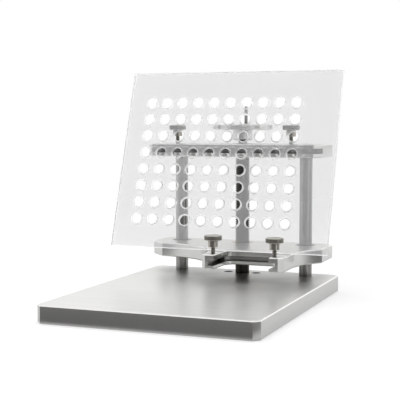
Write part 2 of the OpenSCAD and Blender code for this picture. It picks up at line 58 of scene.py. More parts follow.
# How far a screw's core reaches into the root of its thread
CORE_OVERLAP = 0.01 * MM

Span = Tuple[float, float]
Triple = Tuple[float, float, float]
Profile = Sequence[Tuple[float, float]]
Value = Union[float, bpy.types.NodeSocket]


class Run(Enum):
    """How machining marks run, as their fineness along X, Y and Z."""

    ALONG_X = (4.0, 260.0, 260.0)
    ROUND_Z = (6.0, 6.0, 420.0)


class NodeSheet:
    """A node tree that is filled with short calls."""

    def __init__(self, tree: bpy.types.NodeTree) -> None:
        """Keeps the tree.

        Args:
            tree: the node tree to fill.
        """
        self.tree = tree

    def add(self, kind: str, settings: Optional[dict] = None, **inputs: object) -> bpy.types.Node:
        """Adds one node and fills its sockets.

        Args:
            kind: the node's Blender type.
            settings: values of the node's own properties.
            **inputs: socket values or output sockets, by socket name with _ for a space; a
                name such as in_0 means the socket of that number.

        Returns:
            The new node.
        """
        node = self.tree.nodes.new(kind)
        for key, value in (settings or {}).items():
            setattr(node, key, value)
        for key, value in inputs.items():
            by_number = key.startswith("in_")
            socket = node.inputs[int(key.removeprefix("in_")) if by_number else key.replace("_", " ")]
            if isinstance(value, bpy.types.NodeSocket):
                self.link(value, socket)
            else:
                socket.default_value = value
        return node

    def link(self, result: bpy.types.NodeSocket, socket: bpy.types.NodeSocket) -> None:
        """Feeds a result to an input socket."""
        self.tree.links.new(result, socket)

    def math(self, operation: str, *values: Value) -> bpy.types.NodeSocket:
        """Adds a Math node.

        Args:
            operation: the node's operation.
            *values: its numbers or output sockets.

        Returns:
            The result's socket.
        """
        inputs = {f"in_{i}": value for i, value in enumerate(values)}
        return self.add("ShaderNodeMath", {"operation": operation}, **inputs).outputs[0]

    def rest(self, share: bpy.types.NodeSocket) -> bpy.types.NodeSocket:
        """Gives what a share leaves of 1."""
        return self.math("SUBTRACT", 1.0, share)

    def blend(self, share: bpy.types.NodeSocket, start: Value, end: Value) -> bpy.types.NodeSocket:
        """Goes from one value to another.

        Args:
            share: how far it goes, from 0 to 1.
            start: the result at 0.
            end: the result at 1.

        Returns:
            The result's socket.
        """
        return self.math("MULTIPLY_ADD", share, self.math("SUBTRACT", end, start), start)

    def ramp(self, value: bpy.types.NodeSocket, low: float, high: float,
             to_low: float = 0.0, to_high: float = 1.0) -> bpy.types.NodeSocket:
        """Maps a value smoothly from one range to another.

        Args:
            value: the socket that is mapped.
            low: the value that gives to_low.
            high: the value that gives to_high, which may lie below low.
            to_low: the result at low.
            to_high: the result at high.

        Returns:
            The result's socket.
        """
        node = self.add("ShaderNodeMapRange", {"interpolation_type": "SMOOTHSTEP"},
                        Value=value, From_Min=low, From_Max=high, To_Min=to_low, To_Max=to_high)
        return node.outputs["Result"]


@dataclass(frozen=True)
class EffectLibrary:
    """Node groups of the effects that several finishes share, each built once.

    Each span names the two values between which the effect's tone or mask goes from 0 to 1.
    """

    mark_span: Span = (0.3, 0.7)
    smudge_span: Span = (0.35, 0.7)
    painted_shade_span: Span = (0.85, 0.3)
    edge_span: Span = (0.995, 0.9)

    @staticmethod
    def _start(name: str, inputs: Sequence[Tuple[str, str, object]],
               outputs: Sequence[Tuple[str, str]]) -> Tuple[NodeSheet, bpy.types.Node, bpy.types.Node]:
        """Makes an empty group with named sockets.

        Args:
            name: the group's name.
            inputs: name, kind and default value of each input.
            outputs: name and kind of each output.

        Returns:
            The sheet to fill, its input node and its output node.
        """
        tree = bpy.data.node_groups.new(name, "ShaderNodeTree")
        for label, kind, value in inputs:
            socket = tree.interface.new_socket(label, in_out="INPUT", socket_type=kind)
            socket.default_value = value
        for label, kind in outputs:
            tree.interface.new_socket(label, in_out="OUTPUT", socket_type=kind)
        sheet = NodeSheet(tree)
        return sheet, sheet.add("NodeGroupInput"), sheet.add("NodeGroupOutput")

    @cache
    def machining(self) -> bpy.types.NodeTree:
        """Fine tool marks along one direction, over a broader unevenness.

        Returns:
            The group, which puts out a height and a tone from 0 to 1.
        """
        sheet, given, result = self._start(
            "machining",
            [("Run", "NodeSocketVector", Run.ALONG_X.value), ("Detail", "NodeSocketFloat", 5.0)],
            [("Height", "NodeSocketFloat"), ("Tone", "NodeSocketFloat")])
        place = sheet.add("ShaderNodeTexCoord").outputs["Object"]
        scaled = sheet.add("ShaderNodeVectorMath", {"operation": "MULTIPLY"},
                           in_0=place, in_1=given.outputs["Run"]).outputs[0]
        marks = sheet.add("ShaderNodeTexNoise", Vector=scaled, Scale=4.0, Detail=given.outputs["Detail"],
                          Roughness=0.65).outputs[0]
        streaks = sheet.add("ShaderNodeTexNoise", Vector=scaled, Scale=0.6, Detail=2.0).outputs[0]
        mean = sheet.math("MULTIPLY", sheet.math("ADD", marks, streaks), 0.5)
        sheet.link(marks, result.inputs["Height"])
        sheet.link(sheet.ramp(mean, *self.mark_span), result.inputs["Tone"])
        return sheet.tree

    @cache
    def turning(self) -> bpy.types.NodeTree:
        """Concentric tool marks round an upright axis.

        Returns:
            The group, which puts out a height and a tone from 0 to 1.
        """
        sheet, given, result = self._start(
            "turning",
            [("Axis", "NodeSocketVector", (0.0, 0.0, 0.0)), ("Fineness", "NodeSocketFloat", 1600.0)],
            [("Height", "NodeSocketFloat"), ("Tone", "NodeSocketFloat")])
        place = sheet.add("ShaderNodeTexCoord").outputs["Object"]
        offset = sheet.add("ShaderNodeVectorMath", {"operation": "SUBTRACT"},
                           in_0=place, in_1=given.outputs["Axis"]).outputs[0]
        parts = sheet.add("ShaderNodeSeparateXYZ", Vector=offset).outputs
        squares = [sheet.math("POWER", parts[axis], 2.0) for axis in ("X", "Y")]
        radius = sheet.math("SQRT", sheet.math("ADD", *squares))
        along = sheet.math("MULTIPLY", sheet.math("ADD", radius, parts["Z"]), given.outputs["Fineness"])
        marks = sheet.add("ShaderNodeTexNoise", {"noise_dimensions": "1D"}, W=along, Scale=1.0,
                          Detail=3.0, Roughness=0.6).outputs[0]
        sheet.link(marks, result.inputs["Height"])
        sheet.link(sheet.ramp(marks, *self.mark_span), result.inputs["Tone"])
        return sheet.tree

    @cache
    def handling(self) -> bpy.types.NodeTree:
        """Soft smudges of hands and cloths.

        Returns:
            The group, which puts out a tone from 0 to 1.
        """
        sheet, given, result = self._start(
            "handling", [("Size", "NodeSocketFloat", 30.0)], [("Tone", "NodeSocketFloat")])
        place = sheet.add("ShaderNodeTexCoord").outputs["Object"]
        cloud = sheet.add("ShaderNodeTexNoise", Vector=place, Scale=given.outputs["Size"], Detail=4.0,
                          Roughness=0.6, Distortion=0.6).outputs[0]
        sheet.link(sheet.ramp(cloud, *self.smudge_span), result.inputs["Tone"])
        return sheet.tree

    @cache
    def level(self) -> bpy.types.NodeTree:
        """Tells the broad upper and lower faces from the faces round a plate's edge.

        Returns:
            The group, which puts out a mask: 1 on level faces and 0 on upright ones.
        """
        sheet, given, result = self._start(
            "level", [("Share", "NodeSocketFloat", 0.8)], [("Mask", "NodeSocketFloat")])
        normal = sheet.add("ShaderNodeNewGeometry").outputs["Normal"]
        rise = sheet.math("ABSOLUTE", sheet.add("ShaderNodeSeparateXYZ", Vector=normal).outputs["Z"])
        mask = sheet.math("GREATER_THAN", rise, given.outputs["Share"])
        sheet.link(mask, result.inputs["Mask"])
        return sheet.tree

    @cache
    def painted_crevice_shade(self) -> bpy.types.NodeTree:
        """Paints shade into grooves, thread roots and corners, and onto faces that lie close under
        other parts.

        Returns:
            The group, which puts out a mask of painted shade from 0 to 1.
        """
        sheet, given, result = self._start(
            "painted_crevice_shade", [("Reach", "NodeSocketFloat", 0.006)], [("Mask", "NodeSocketFloat")])
        openness = sheet.add("ShaderNodeAmbientOcclusion", {"samples": 8},
                             Distance=given.outputs["Reach"]).outputs["AO"]
        sheet.link(sheet.ramp(openness, *self.painted_shade_span), result.inputs["Mask"])
        return sheet.tree

    @cache
    def edges(self) -> bpy.types.NodeTree:
        """Broken edges: a softened normal, and a mask of where the edges are.

        Returns:
            The group, which puts out a normal and a mask from 0 to 1.
        """
        sheet, given, result = self._start(
            "edges", [("Radius", "NodeSocketFloat", 0.0003)],
            [("Normal", "NodeSocketVector"), ("Mask", "NodeSocketFloat")])
        soft = sheet.add("ShaderNodeBevel", {"samples": 4},
                         Radius=given.outputs["Radius"]).outputs["Normal"]
        flat = sheet.add("ShaderNodeNewGeometry").outputs["Normal"]
        agreement = sheet.add("ShaderNodeVectorMath", {"operation": "DOT_PRODUCT"},
                              in_0=soft, in_1=flat).outputs["Value"]
        sheet.link(soft, result.inputs["Normal"])
        sheet.link(sheet.ramp(agreement, *self.edge_span), result.inputs["Mask"])
        return sheet.tree


EFFECTS = EffectLibrary()


@dataclass(frozen=True)
class Marks:
    """Tool marks as a material takes them up."""

    height: bpy.types.NodeSocket
    tone: bpy.types.NodeSocket
    depth: float
    tone_share: float


@dataclass(frozen=True)
class Finish:
    """A plain finish: one colour and roughness, with soft edges that get a painted highlight, painted
    shade in crevices, and smudges.

    Edges are lighter by painted_edge_highlight, which is a painted highlight, and crevices darker
    by painted_shade_share, which is painted shade. A clean spot is smoother than the stated
    roughness by clean_polish, and a smudge adds up to smudge_roughness to that.
    """

    name: str
    slot: str
    colour: Triple
    roughness: float
    metallic: float = 1.0
    edge_radius: float = 0.3 * MM
    painted_edge_highlight: float = 0.08
    painted_shade_reach: float = 9 * MM
    painted_shade_share: float = 0.7
    smudge_roughness: float = 0.05
    clean_polish: float = 0.02

    def group(self, sheet: NodeSheet, tree: bpy.types.NodeTree, **inputs: object) -> bpy.types.Node:
        """Places a shared effect in a material.

        Args:
            sheet: the material's sheet.
            tree: the effect's group.
            **inputs: values of the group's inputs.

        Returns:
            The group's node.
        """
        return sheet.add("ShaderNodeGroup", {"node_tree": tree}, **inputs)

    def shade(self, sheet: NodeSheet, shader: bpy.types.Node) -> None:
        """Adds what varies over the surface, here without tool marks.

        Args:
            sheet: the material's sheet.
            shader: the material's Principled BSDF.
        """
        self._finish_surface(sheet, shader)

    def _finish_surface(self, sheet: NodeSheet, shader: bpy.types.Node,
                        marks: Optional[Marks] = None) -> None:
        """Joins soft edges with their painted highlight, painted shade in crevices, smudges and marks
        in the shader's colour, roughness and normal.

        Args:
            sheet: the material's sheet.
            shader: the material's Principled BSDF.
            marks: the tool marks, if there are any.
        """
        edge = self.group(sheet, EFFECTS.edges(), Radius=self.edge_radius).outputs
        smudge = self.group(sheet, EFFECTS.handling()).outputs["Tone"]
        crevice_shade = self.group(sheet, EFFECTS.painted_crevice_shade(), Reach=self.painted_shade_reach).outputs["Mask"]
        # Painted highlight: the colour lightens along the edges.
        light = sheet.math("MULTIPLY_ADD", edge["Mask"], self.painted_edge_highlight, 1.0)
        rough = sheet.math("MULTIPLY_ADD", smudge, self.smudge_roughness, self._base_roughness(sheet))
        normal = edge["Normal"]
        if marks is not None:
            half = marks.tone_share / 2
            swing = sheet.math("MULTIPLY_ADD", marks.tone, marks.tone_share, -half)
            light = sheet.math("ADD", light, swing)
            rough = sheet.math("MULTIPLY_ADD", marks.tone, half, rough)
            normal = sheet.add("ShaderNodeBump", Strength=1.0, Distance=marks.depth,
                               Height=marks.height, Normal=normal).outputs["Normal"]
        # Painted shade: the colour darkens in crevices and under parts that stand close.
        shadow = sheet.math("MULTIPLY_ADD", crevice_shade, -self.painted_shade_share, 1.0)
        colour = sheet.add("ShaderNodeVectorMath", {"operation": "SCALE"}, in_0=self.colour,
                           Scale=sheet.math("MULTIPLY", light, shadow)).outputs[0]
        sheet.link(colour, shader.inputs["Base Color"])
        sheet.link(rough, shader.inputs["Roughness"])
        sheet.link(normal, shader.inputs["Normal"])

    def _base_roughness(self, sheet: NodeSheet) -> Value:
        """Gives the roughness of a clean spot, before marks and smudges."""
        return self.roughness - self.clean_polish

    def material(self) -> bpy.types.Material:
        """Builds the material, or finds it if it is already built.

        Returns:
            The material.
        """
        if self.name in bpy.data.materials:
            return bpy.data.materials[self.name]
        made = bpy.data.materials.new(self.name)
        made.use_nodes = True
        sheet = NodeSheet(made.node_tree)
        shader = made.node_tree.nodes["Principled BSDF"]
        shader.inputs["Metallic"].default_value = self.metallic
        shader.inputs["Roughness"].default_value = self.roughness
        shader.inputs["Base Color"].default_value = (*self.colour, 1.0)
        self.shade(sheet, shader)
        return made


@dataclass(frozen=True)
class Milled(Finish):
    """A milled or ground finish, with its own polish and metallic share on the broad faces."""

    run: Run = Run.ALONG_X
    depth: float = 0.002 * MM
    tone_share: float = 0.05
    side_roughness: float = 0.14
    level_metallic: float = 0.9

    def shade(self, sheet: NodeSheet, shader: bpy.types.Node) -> None:
        """Adds what varies over the surface, with the tool marks and the metallic share.

        Args:
            sheet: the material's sheet.
            shader: the material's Principled BSDF.
        """
        made = self.group(sheet, EFFECTS.machining(), Run=self.run.value).outputs
        self._finish_surface(sheet, shader,
                             Marks(made["Height"], made["Tone"], self.depth, self.tone_share))
        metallic = self._by_face(sheet, self.level_metallic, self.metallic)
        sheet.link(metallic, shader.inputs["Metallic"])

    def _base_roughness(self, sheet: NodeSheet) -> Value:
        """Gives the faces round the edge a smoother cut than the blasted broad faces."""
        return self._by_face(sheet, self.roughness, self.side_roughness)

    def _by_face(self, sheet: NodeSheet, broad: float, side: float) -> bpy.types.NodeSocket:
        """Chooses between two values by the way that a face looks.

        Args:
            sheet: the material's sheet.
            broad: the value on the broad level faces.
            side: the value on the faces round the edge.

        Returns:
            The value's socket.
        """
        level = self.group(sheet, EFFECTS.level()).outputs["Mask"]
        return sheet.math("MULTIPLY_ADD", level, broad - side, side)


@dataclass(frozen=True)
class Turned(Finish):
    """A turned finish with marks round an upright axis."""

    axis: Triple = (0.0, 0.0, 0.0)
    fineness: float = 1600.0
    depth: float = 0.002 * MM
    tone_share: float = 0.08

    def shade(self, sheet: NodeSheet, shader: bpy.types.Node) -> None:
        """Adds what varies over the surface, with the tool marks.

        Args:
            sheet: the material's sheet.
            shader: the material's Principled BSDF.
        """
        made = self.group(sheet, EFFECTS.turning(), Axis=self.axis, Fineness=self.fineness).outputs
        self._finish_surface(sheet, shader,
                             Marks(made["Height"], made["Tone"], self.depth, self.tone_share))


@dataclass(frozen=True)
class ClearSheet(Finish):
    """Clear acrylic with a faint milky veil."""

    alpha: float = 0.27
    refraction: float = 1.49
    transmission: float = 0.0
    painted_edge_glow: float = 0.0
    smudge_size: float = 18.0
    smudge_roughness: float = 0.04

    def shade(self, sheet: NodeSheet, shader: bpy.types.Node) -> None:
        """Sets the sheet's clearness and its cut edges' faint painted glow, and adds faint smudges.

        Args:
            sheet: the material's sheet.
            shader: the material's Principled BSDF.
        """
        shader.inputs["Alpha"].default_value = self.alpha
        shader.inputs["IOR"].default_value = self.refraction
        shader.inputs["Transmission Weight"].default_value = self.transmission
        shader.inputs["Emission Color"].default_value = (*self.colour, 1.0)
        # Painted glow: the cut edges give off a little light of their own.
        shader.inputs["Emission Strength"].default_value = self.painted_edge_glow
        smudge = self.group(sheet, EFFECTS.handling(), Size=self.smudge_size).outputs["Tone"]
        rough = sheet.math("MULTIPLY_ADD", smudge, self.smudge_roughness, self.roughness)
        sheet.link(rough, shader.inputs["Roughness"])


SATIN_COLOUR = (0.765, 0.763, 0.745)
SATIN_ROUGHNESS = 0.30

# The base plate's long reach paints shade on its top under the carriage and round what stands on it.
PLATE = Milled("plate_satin_aluminium", "plate_aluminium", SATIN_COLOUR, SATIN_ROUGHNESS,
               depth=0.004 * MM, metallic=0.95, level_metallic=0.62,
               painted_shade_reach=30 * MM, painted_shade_share=0.36)
TOP = Milled("top_plate_satin_aluminium", "plate_aluminium", SATIN_COLOUR, SATIN_ROUGHNESS)
ARMS = Milled("carriage_satin_aluminium", "plate_aluminium", SATIN_COLOUR, SATIN_ROUGHNESS)
POST = Milled("ground_post", "ground_steel", (0.345, 0.343, 0.335), 0.15, run=Run.ROUND_Z,
              tone_share=0.12)
WHEEL = Turned("turned_handwheel", "turned_aluminium", (0.76, 0.76, 0.75), 0.13)
# The short reach paints shade into the thread's roots.
THREAD = Finish("oiled_thread", "screw_steel", (0.17, 0.166, 0.155), 0.24,
                painted_shade_reach=1.5 * MM, painted_shade_share=0.85)
KNURLED = Finish("nickel_knurl", "nickel", (0.50, 0.48, 0.43), 0.14)
BLACK = Finish("black_oxide_screw", "black_screw", (0.035, 0.034, 0.033), 0.42, metallic=0.6)
# The stop collar's near-black colour is painted shade, where the lead screw runs in the carriage's shade.
SHADE_BLACK_SLEEVE = Finish("painted_shade_black_sleeve", "black_sleeve", (0.045, 0.04, 0.036), 0.38, metallic=0.8)
BRONZE = Finish("machined_bronze", "bronze", (0.50, 0.36, 0.18), 0.30)
BUSH = Finish("bush_plastic", "bush_plastic", (0.30, 0.30, 0.30), 0.45, metallic=0.0)
ACRYLIC = ClearSheet("clear_acrylic", "clear_acrylic", (0.93, 0.94, 0.94), 0.05, metallic=0.0)
# The cut edges get a painted glow, which keeps them bright in front of dark parts.
ACRYLIC_EDGE = ClearSheet("cut_acrylic_edge", "clear_acrylic", (0.96, 0.97, 0.97), 0.7, metallic=0.0,
                          alpha=1.0, transmission=0.9, painted_edge_glow=0.06)


def give_finish(node: str, finish: Finish) -> None:
    """Gives a carried-over CAD node a finish.

    Args:
        node: the node's name.
        finish: the finish it gets.
    """
    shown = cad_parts[node]
    shown.data.materials.clear()
    shown.data.materials.append(finish.material())
    log.info("%s: dressed in %s", node, finish.name)


def add_piece(name: str, mesh: bmesh.types.BMesh, finish: Finish, body: str,
              stands_for: Sequence[str]) -> bpy.types.Object:
    """Turns a mesh into a piece of the scene.

    Args:
        name: the piece's name.
        mesh: its mesh, which is freed.
        finish: its finish.
        body: the body that it moves with.
        stands_for: the CAD nodes that it replaces.

    Returns:
        The piece.
    """
    bmesh.ops.remove_doubles(mesh, verts=mesh.verts, dist=MERGE_DISTANCE)
    bmesh.ops.dissolve_degenerate(mesh, edges=mesh.edges, dist=MERGE_DISTANCE)
    bmesh.ops.recalc_face_normals(mesh, faces=mesh.faces)
    data = bpy.data.meshes.new(name)
    mesh.to_mesh(data)
    mesh.free()
    data.materials.append(finish.material())
    piece = bpy.data.objects.new(name, data)
    bpy.context.scene.collection.objects.link(piece)
    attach(piece, body)
    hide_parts(*stands_for)
    log.info("%s: %d faces, rides on %s", name, len(data.polygons), body)
    return piece


def corners(node: str) -> Tuple[Vector, Vector, Vector]:
    """Gives a CAD node's lowest corner, highest corner and middle."""
    low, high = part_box(node)
    return low, high, (low + high) / 2


def on_circle(centre: Vector, radius: float, angle: float, height: float) -> Triple:
    """Finds a point round an upright axis.

    Args:
        centre: a point on the axis.
        radius: the point's distance from the axis.
        angle: its direction from +X.
        height: its height above the centre.

    Returns:
        The point.
    """
    return (centre.x + radius * math.cos(angle), centre.y + radius * math.sin(angle),
            centre.z + height)


def lathe(mesh: bmesh.types.BMesh, centre: Vector, outline: Profile, segments: int = 64,
          radius_at: Optional[Callable[[float, int], float]] = None) -> None:
    """Turns an outline round an upright axis, as a closed solid.

    Args:
        mesh: the mesh that it is added to.
        centre: a point on the axis; its height is added to the outline's heights.
        outline: radius and height of each point, from the bottom to the top.
        segments: steps round the axis.
        radius_at: gives the radius at a point's radius and a step, where it varies.
    """
    rings: List[List[bmesh.types.BMVert]] = []
    for radius, height in outline:
        steps = range(1 if radius < AXIS_RADIUS else segments)
        ring = []
        for step in steps:
            varied = radius_at(radius, step) if radius_at else radius
            ring.append(mesh.verts.new(on_circle(centre, varied, TURN * step / segments, height)))
        rings.append(ring)
    for low, high in zip(rings, rings[1:]):
        for step in range(segments):
            after = (step + 1) % segments
            sides = [low[step % len(low)], low[after % len(low)],
                     high[after % len(high)], high[step % len(high)]]
            unique = list(dict.fromkeys(sides))
            if len(unique) > 2:
                mesh.faces.new(unique)
    for ring, turned in ((rings[0], True), (rings[-1], False)):
        if len(ring) > 2:
            mesh.faces.new(list(reversed(ring)) if turned else ring)


@dataclass
class ScrewThread:
    """A right-hand thread with flat crests and roots, along an upright axis.

    The shares are shares of the pitch.
    """

    radius: float
    pitch: float
    segments: int = 40
    depth_share: float = 0.58
    root_share: float = 0.12
    crest_share: float = 0.14

    def root(self) -> float:
        """Gives the radius at the thread's root."""
        return self.radius - self.depth_share * self.pitch

    def add_to(self, mesh: bmesh.types.BMesh, centre: Vector, low: float, high: float) -> None:
        """Adds the thread between two heights, where it runs out within a pitch of each.

        Args:
            mesh: the mesh that it is added to.
            centre: a point on the axis at height 0.
            low: the thread's lower end.
            high: the thread's upper end.
        """
        root = self.root()
        flank_share = (1 - self.root_share - self.crest_share) / 2
        crest_start = self.root_share + flank_share
        shape = [(root, 0.0), (root, self.root_share),
                 (self.radius, crest_start), (self.radius, crest_start + self.crest_share)]
        # The first turn starts a pitch below the lower end, and the last one covers the upper end
        turns = int((high - low) / self.pitch) + 2
        rows: List[List[bmesh.types.BMVert]] = []
        for step in range(turns * self.segments + 1):
            base = low - self.pitch + self.pitch * step / self.segments
            row = []
            for radius, share in shape:
                height = base + share * self.pitch
                runout = min(1.0, max(0.0, min(height - low, high - height) / self.pitch))
                row.append(mesh.verts.new(on_circle(
                    centre, root + (radius - root) * runout, TURN * step / self.segments,
                    min(max(height, low), high))))
            rows.append(row)
        last = len(shape) - 1
        for step, (here, after) in enumerate(zip(rows, rows[1:])):
            for k in range(last):
                mesh.faces.new([here[k], after[k], after[k + 1], here[k + 1]])
            if step + 1 + self.segments < len(rows):
                above, above_after = (rows[step + turn][0] for turn in (self.segments, self.segments + 1))
                mesh.faces.new([here[last], after[last], above_after, above])


@dataclass
class BasePlate:
    """The base plate with what is let into it and stands on it."""

    plate: Finish = PLATE
    bearing: Finish = BRONZE
    fasteners: Finish = BLACK
    collar: Finish = SHADE_BLACK_SLEEVE

    def dress(self) -> None:
        """Gives each piece its finish."""
        give_finish("base_plate", self.plate)
        give_finish("foot_bearing", self.bearing)
        give_finish("foot_bearing_screws", self.fasteners)
        give_finish("post_screws_lower", self.fasteners)
        give_finish("stop_collar", self.collar)


@dataclass
class Columns:
    """The guide posts and the top plate that joins them."""

    posts: Finish = POST
    plate: Finish = TOP
    fasteners: Finish = BLACK
    bush: Finish = BRONZE

    def dress(self) -> None:
        """Gives each piece its finish."""
        give_finish("guide_post_left", self.posts)
        give_finish("guide_post_right", self.posts)
        give_finish("top_plate", self.plate)
        give_finish("post_screws_upper", self.fasteners)
        give_finish("neck_bush", self.bush)


@dataclass
class Carriage:
    """The sliding carriage with its bushes and its nut."""

    arms: Finish = ARMS
    bushes: Finish = BUSH
    nut: Finish = BRONZE
    fasteners: Finish = BLACK

    def dress(self) -> None:
        """Gives each piece its finish."""
        give_finish("carriage", self.arms)
        give_finish("guide_bush_left", self.bushes)
        give_finish("guide_bush_right", self.bushes)
        give_finish("carriage_nut", self.nut)
        give_finish("nut_screws", self.fasteners)


@dataclass
class Drive:
    """The lead screw and the handwheel.

    The screw has a plain foot under its thread and a plain neck above it.
    """

    thread_pitch: float = 2 * MM
    thread_margin: float = 0.4 * MM
    foot_radius: float = 5 * MM
    foot_chamfer: float = 0.5 * MM
    neck_radius: float = 4 * MM
    neck_gap: float = 0.3 * MM
    chamfer: float = 0.3 * MM

    def build(self) -> None:
        """Builds the lead screw, threaded from the carriage's underside to the top plate."""
        low, high, middle = corners("lead_screw")
        bottom = corners("carriage")[0].z
        top = corners("top_plate")[0].z - self.neck_gap
        centre = Vector((middle.x, middle.y, 0.0))
        thread = ScrewThread((high.x - low.x) / 2, self.thread_pitch)
        core = thread.root() + CORE_OVERLAP
        mesh = bmesh.new()
        thread.add_to(mesh, centre, bottom + self.thread_margin, top - self.thread_margin)
        lathe(mesh, centre, [
            (0.0, low.z), (self.foot_radius - self.foot_chamfer, low.z),
            (self.foot_radius, low.z + self.foot_chamfer), (self.foot_radius, bottom),
            (core - self.chamfer, bottom), (core, bottom + self.chamfer),
            (core, top - self.chamfer), (core - self.chamfer, top),
            (self.neck_radius, top), (self.neck_radius, high.z - self.chamfer),
            (self.neck_radius - self.chamfer, high.z), (0.0, high.z)])
        add_piece("threaded_lead_screw", mesh, THREAD, "spindle", ["lead_screw"])

    def dress(self) -> None:
        """Gives each piece its finish."""
        middle = corners("handwheel")[2]
        give_finish("handwheel", replace(WHEEL, axis=(middle.x, middle.y, 0.0)))
        give_finish("crank_pin", POST)
        give_finish("hub_set_screw", BLACK)


@dataclass
class ThumbScrew:
    """One knurled thumb screw."""

    node: str
    body: str
    thread: ScrewThread = field(default_factory=lambda: ScrewThread(2 * MM, 0.7 * MM, segments=24))
    thread_start: float = 0.15 * MM
    thread_end: float = 0.5 * MM
    tip_chamfer: float = 0.3 * MM
    undercut_depth: float = 0.05 * MM
    undercut_height: float = 0.6 * MM
    collar_radius: float = 4.35 * MM
    collar_height: float = 5.9 * MM
    collar_chamfer: float = 0.3 * MM
    shoulder: float = 0.4 * MM
    shoulder_neck: float = 0.1 * MM
    head_height: float = 4.3 * MM
    rim_width: float = 0.6 * MM
    rim_height: float = 0.5 * MM
    dish_border: float = 2.2 * MM
    dish_slope: float = 0.3 * MM
    dish_depth: float = 0.15 * MM
    teeth: int = 56
    tooth_depth: float = 0.35 * MM
    tooth_steps: int = 4

    def build(self) -> None:
        """Builds the screw from its threaded stem to its knurled head."""
        low, high, middle = corners(self.node)
        centre = Vector((middle.x, middle.y, 0.0))
        under_head = high.z - self.head_height
        under_collar = under_head - self.collar_height
        mesh = bmesh.new()
        self._add_stem(mesh, centre, low.z, under_collar, under_head)
        self._add_head(mesh, centre, (high.x - low.x) / 2, under_head, high.z)
        self.thread.add_to(mesh, centre, low.z + self.thread_start, under_collar - self.thread_end)
        add_piece(f"knurled_{self.node}", mesh, KNURLED, self.body, [self.node])

    def _add_stem(self, mesh: bmesh.types.BMesh, centre: Vector, tip: float, under_collar: float,
                  under_head: float) -> None:
        """Adds the thread's core, the undercut above it and the collar.

        Args:
            mesh: the screw's mesh.
            centre: a point on the axis at height 0.
            tip: the stem's lower end.
            under_collar: the height of the collar's underside.
            under_head: the height of the head's underside.
        """
        root = self.thread.root()
        core = root + CORE_OVERLAP
        groove = root - self.undercut_depth
        undercut = under_collar - self.undercut_height
        neck = self.collar_radius - self.shoulder
        lathe(mesh, centre, [
            (0.0, tip), (root - self.tip_chamfer, tip), (core, tip + self.tip_chamfer),
            (core, undercut), (groove, undercut), (groove, under_collar),
            (self.collar_radius - self.collar_chamfer, under_collar),
            (self.collar_radius, under_collar + self.collar_chamfer),
            (self.collar_radius, under_head - self.shoulder),
            (neck, under_head - self.shoulder_neck), (neck, under_head)])

    def _add_head(self, mesh: bmesh.types.BMesh, centre: Vector, radius: float, bottom: float,
                  top: float) -> None:
        """Adds the head with its knurled band and the dish in its top.

        Args:
            mesh: the screw's mesh.
            centre: a point on the axis at height 0.
            radius: the head's radius.
            bottom: the height of its underside.
            top: the height of its top.
        """

        def knurl(point_radius: float, step: int) -> float:
            """Lowers the second half of each tooth's steps in the knurled band."""
            in_band = point_radius >= radius
            in_gap = step % self.tooth_steps >= self.tooth_steps // 2
            return point_radius - self.tooth_depth if in_band and in_gap else point_radius

        lathe(mesh, centre, [
            (0.0, bottom), (radius - self.rim_width, bottom), (radius, bottom + self.rim_height),
            (radius, top - self.rim_height), (radius - self.rim_width, top),
            (radius - self.dish_border, top),
            (radius - self.dish_border - self.dish_slope, top - self.dish_depth),
            (0.0, top - self.dish_depth)], segments=self.tooth_steps * self.teeth, radius_at=knurl)


@dataclass
class ClearPanel:
    """The loose perforated panel, with its cut edges broken.

    A face counts as one of the panel's two broad faces from the cosine called facing. An edge is a
    rim where the cosines of its two faces differ by more than rim_contrast.
    """

    edge_break: float = 0.35 * MM
    hole_break: float = 1.0 * MM
    longest_hole_edge: float = 2 * MM
    join_distance: float = 0.001 * MM
    flat_angle: float = math.radians(1)
    facing: float = 0.99
    rim_contrast: float = 0.9

    def build(self) -> None:
        """Builds the panel from its CAD node, with broken edges and bright cut faces, partly lit by a
        painted glow.
        """
        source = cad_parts["perforated_panel"]
        mesh = bmesh.new()
        mesh.from_mesh(source.data)
        bmesh.ops.remove_doubles(mesh, verts=mesh.verts, dist=self.join_distance)
        bmesh.ops.dissolve_limit(mesh, angle_limit=self.flat_angle, verts=mesh.verts, edges=mesh.edges)
        face_normal = max(mesh.faces, key=lambda face: face.calc_area()).normal.copy()
        for longer, offset in ((False, self.hole_break), (True, self.edge_break)):
            rims = self._rims(mesh, face_normal, longer)
            bmesh.ops.bevel(mesh, geom=rims, offset=offset, segments=1, affect="EDGES", profile=0.5)
        mesh.faces.ensure_lookup_table()
        for face in mesh.faces:
            face.material_index = 0 if abs(face.normal.dot(face_normal)) > self.facing else 1
        piece = add_piece("clear_perforated_panel", mesh, ACRYLIC, "panel", ["perforated_panel"])
        piece.data.materials.append(ACRYLIC_EDGE.material())

    def _rims(self, mesh: bmesh.types.BMesh, face_normal: Vector, longer: bool) -> List[bmesh.types.BMEdge]:
        """Finds the sharp edges round the panel's two faces.

        Args:
            mesh: the panel's mesh.
            face_normal: the direction that the panel faces.
            longer: finds the panel's outer edges if true, or else those of its holes.

        Returns:
            The edges.
        """
        found = []
        for edge in mesh.edges:
            if len(edge.link_faces) == 2 and (edge.calc_length() > self.longest_hole_edge) == longer:
                first, second = (abs(face.normal.dot(face_normal)) for face in edge.link_faces)
                if abs(first - second) > self.rim_contrast:
                    found.append(edge)
        return found


